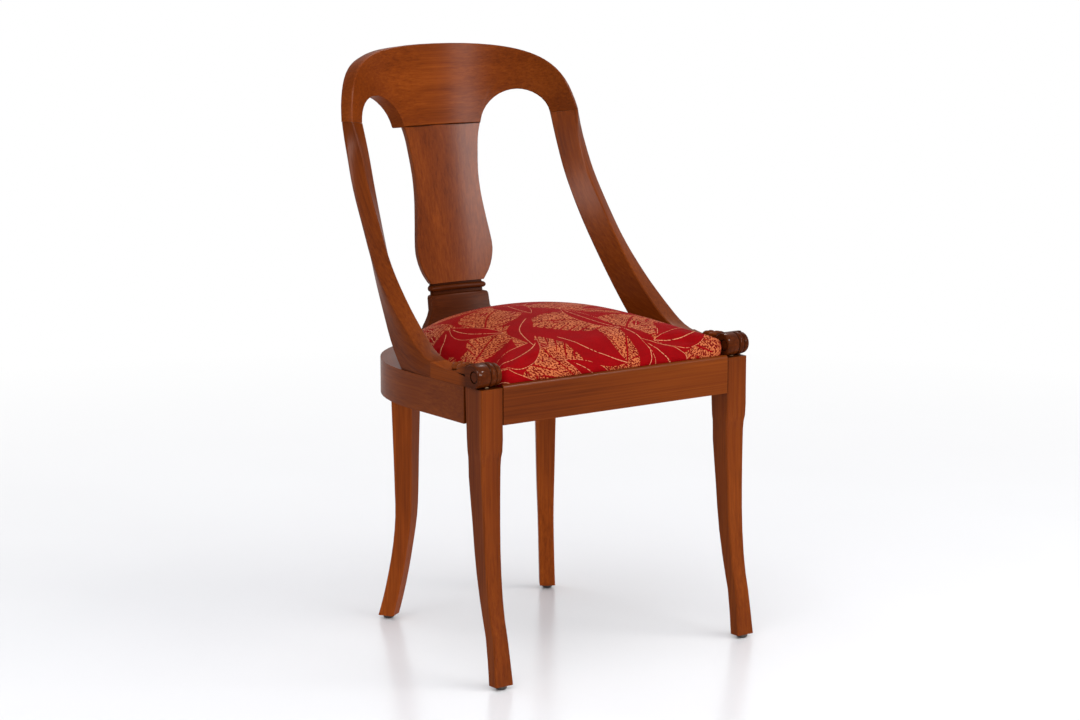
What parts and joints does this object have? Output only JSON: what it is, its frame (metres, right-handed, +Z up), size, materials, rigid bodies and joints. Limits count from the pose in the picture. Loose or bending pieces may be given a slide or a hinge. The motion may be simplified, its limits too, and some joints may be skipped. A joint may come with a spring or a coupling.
{
  "type": "dining chair",
  "caption": "Gondola-backed wooden dining chair with sabre legs, a bent crest rail, a vase splat, scroll blocks at the front and a domed drop-in seat.",
  "frame": {"origin": "on the floor, under the middle of the chair's bounding box", "axes": "+Z up, -Y towards the sitter's knees (front of the chair), +X to the sitter's left as they sit"},
  "size_m": [0.492, 0.5284, 0.8768],
  "materials": {
    "stained_wood": "satin lacquer over reddish-brown stain",
    "carved_wood": "satin lacquer, darker in the carving",
    "raw_beech": "unfinished",
    "plywood": "unfinished",
    "seat_foam": "open-cell foam",
    "damask": "woven damask with a pale-gold leaf figure",
    "cambric": "thin black non-woven cloth",
    "glide_nylon": "matt",
    "zinc_steel": "bright zinc"
  },
  "bodies": {
    "root": {"crest_rail": "stained_wood", "splat": "stained_wood", "splat_shoe": "stained_wood", "front_rail": "stained_wood", "back_rail": "stained_wood", "seat_board": "plywood", "seat_foam": "seat_foam", "seat_cover": "damask", "dust_cover": "cambric", "stile_left": "stained_wood", "side_rail_left": "stained_wood", "front_leg_left": "stained_wood", "back_leg_left": "stained_wood", "corner_block_front_left": "raw_beech", "corner_block_back_left": "raw_beech", "scroll_block_left": "carved_wood", "stile_right": "stained_wood", "side_rail_right": "stained_wood", "front_leg_right": "stained_wood", "back_leg_right": "stained_wood", "corner_block_front_right": "raw_beech", "corner_block_back_right": "raw_beech", "scroll_block_right": "carved_wood", "front_dowel_left_1": "raw_beech", "front_dowel_left_2": "raw_beech", "side_dowel_left_1": "raw_beech", "side_dowel_left_2": "raw_beech", "back_leg_dowel_left_1": "raw_beech", "back_leg_dowel_left_2": "raw_beech", "crest_dowel_left": "raw_beech", "stile_dowel_left_1": "raw_beech", "stile_dowel_left_2": "raw_beech", "scroll_dowel_left": "raw_beech", "shoe_dowel_left": "raw_beech", "front_dowel_right_1": "raw_beech", "front_dowel_right_2": "raw_beech", "side_dowel_right_1": "raw_beech", "side_dowel_right_2": "raw_beech", "back_leg_dowel_right_1": "raw_beech", "back_leg_dowel_right_2": "raw_beech", "crest_dowel_right": "raw_beech", "stile_dowel_right_1": "raw_beech", "stile_dowel_right_2": "raw_beech", "scroll_dowel_right": "raw_beech", "shoe_dowel_right": "raw_beech", "block_bolt_front_left": "zinc_steel", "block_bolt_back_left_1": "zinc_steel", "block_bolt_back_left_2": "zinc_steel", "seat_screw_front_left": "zinc_steel", "seat_screw_back_left": "zinc_steel", "glide_front_left": "glide_nylon", "glide_back_left": "glide_nylon", "block_bolt_front_right": "zinc_steel", "block_bolt_back_right_1": "zinc_steel", "block_bolt_back_right_2": "zinc_steel", "seat_screw_front_right": "zinc_steel", "seat_screw_back_right": "zinc_steel", "glide_front_right": "glide_nylon", "glide_back_right": "glide_nylon"}
  },
  "joints": []
}
